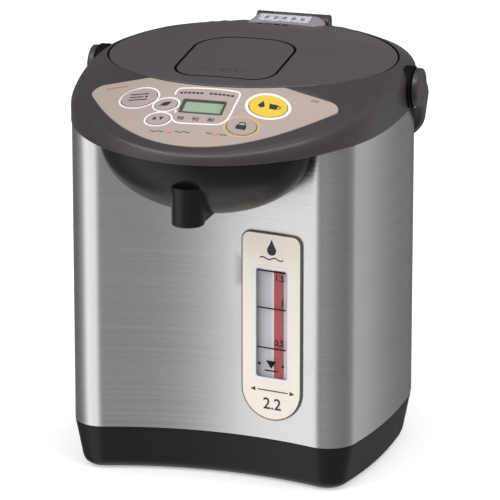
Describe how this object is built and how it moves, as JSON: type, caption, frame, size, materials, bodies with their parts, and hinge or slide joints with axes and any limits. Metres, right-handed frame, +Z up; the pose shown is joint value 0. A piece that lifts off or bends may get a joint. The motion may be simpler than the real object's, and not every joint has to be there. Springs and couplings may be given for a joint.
{
  "type": "electric thermo pot",
  "caption": "Electric thermo pot with a steel case, a beak with a pour nozzle, a control panel, a water gauge, a hinged lid and a carry bail.",
  "frame": {"origin": "on the table, under the axis of the water vessel", "axes": "+Z up, the beak and the control panel face -Y, +X is to the right of someone facing the panel"},
  "size_m": [0.2184, 0.2779, 0.2625],
  "materials": {
    "brushed_steel": "brushed",
    "inner_steel": "satin",
    "dark_plastic": "satin",
    "black_plastic": "satin",
    "rubber": "matte",
    "panel_plastic": "satin",
    "yellow_plastic": "satin",
    "gauge_cream": "satin",
    "red_stripe": "satin",
    "clear": "clear",
    "board_green": "matte",
    "lamp": "clear"
  },
  "bodies": {
    "pot": {"outer_case": "brushed_steel", "inner_vessel": "inner_steel", "vessel_neck": "inner_steel", "vessel_floor": "inner_steel", "vacuum_jacket": "inner_steel", "heater_plate": "inner_steel", "heat_shield": "inner_steel", "base_screws": "inner_steel", "hinge_pin": "inner_steel", "pivot_pins": "inner_steel", "inlet_pins": "inner_steel", "pump_motor": "inner_steel", "collar": "dark_plastic", "mouth_well": "dark_plastic", "hinge_bracket": "dark_plastic", "chin": "dark_plastic", "base_shell": "black_plastic", "base_pan": "black_plastic", "nozzle": "black_plastic", "nozzle_web": "black_plastic", "cord_inlet": "black_plastic", "thermistor": "black_plastic", "display_module": "black_plastic", "gauge_elbow": "black_plastic", "pump_housing": "black_plastic", "mouth_seal": "rubber", "control_panel": "panel_plastic", "gauge_plate": "gauge_cream", "gauge_stripe": "red_stripe", "gauge_window": "clear", "sight_tube": "clear", "display_window": "clear", "outlet_pipe": "clear", "delivery_hose": "clear", "suction_pipe": "clear", "control_board": "board_green", "power_board": "board_green", "indicator_lamps": "lamp"},
    "turntable": {"turntable": "black_plastic", "feet": "rubber"},
    "impeller": {"pump_impeller": "black_plastic"},
    "lid": {"lid_shell": "dark_plastic", "lid_tray": "dark_plastic", "inner_lid": "inner_steel", "lid_gasket": "rubber", "steam_vent": "brushed_steel", "steam_valve": "dark_plastic", "lever_pin": "inner_steel"},
    "lever": {"latch_lever": "dark_plastic"},
    "bolt": {"latch_bolt": "inner_steel"},
    "bail": {"handle": "dark_plastic", "handle_grip": "rubber", "hub_caps": "dark_plastic"},
    "course_key": {"course_key": "panel_plastic"},
    "save_key": {"save_key": "panel_plastic"},
    "temperature_key": {"temperature_key": "panel_plastic"},
    "dispense_key": {"dispense_key": "yellow_plastic"},
    "unlock_key": {"unlock_key": "panel_plastic"}
  },
  "joints": [
    {"name": "turntable_spin", "type": "hinge", "parent": "pot", "child": "turntable", "pos_m": [0, 0, 0.003], "axis": [0, 0, 1], "continuous": true},
    {"name": "impeller_spin", "type": "hinge", "parent": "pot", "child": "impeller", "pos_m": [0, -0.063, 0.03], "axis": [0, 0, 1], "continuous": true},
    {"name": "lid_hinge", "type": "hinge", "parent": "pot", "child": "lid", "pos_m": [0, 0.088, 0.253], "axis": [-1, 0, 0], "range_deg": [0, 80]},
    {"name": "lever_press", "type": "hinge", "parent": "lid", "child": "lever", "pos_m": [0, -0.052, 0.2534], "axis": [1, 0, 0], "range_deg": [0, 10], "stiffness_Nm_per_rad": 0.15, "springref_deg": -8.59},
    {"name": "bolt_slide", "type": "slide", "parent": "lid", "child": "bolt", "axis": [0, 1, 0], "range_m": [0, 0.0046]},
    {"name": "bail_swing", "type": "hinge", "parent": "pot", "child": "bail", "pos_m": [0, 0, 0.2375], "axis": [1, 0, 0], "range_deg": [0, 122]},
    {"name": "course_press", "type": "slide", "parent": "pot", "child": "course_key", "axis": [0.1571, 0.3624, -0.9187], "range_m": [0, 0.001], "stiffness_N_per_m": 400, "springref_m": -0.001},
    {"name": "save_press", "type": "slide", "parent": "pot", "child": "save_key", "axis": [0.0841, 0.386, -0.9187], "range_m": [0, 0.001], "stiffness_N_per_m": 400, "springref_m": -0.001},
    {"name": "temperature_press", "type": "slide", "parent": "pot", "child": "temperature_key", "axis": [0.0778, 0.3873, -0.9187], "range_m": [0, 0.001], "stiffness_N_per_m": 400, "springref_m": -0.001},
    {"name": "dispense_press", "type": "slide", "parent": "pot", "child": "dispense_key", "axis": [-0.1441, 0.3678, -0.9187], "range_m": [0, 0.001], "stiffness_N_per_m": 400, "springref_m": -0.001},
    {"name": "unlock_press", "type": "slide", "parent": "pot", "child": "unlock_key", "axis": [-0.0908, 0.3844, -0.9187], "range_m": [0, 0.001], "stiffness_N_per_m": 400, "springref_m": -0.001}
  ],
  "couplings": [
    {"joint": "bolt_slide", "follows": "lever_press", "m_per_rad": 0.0258}
  ]
}
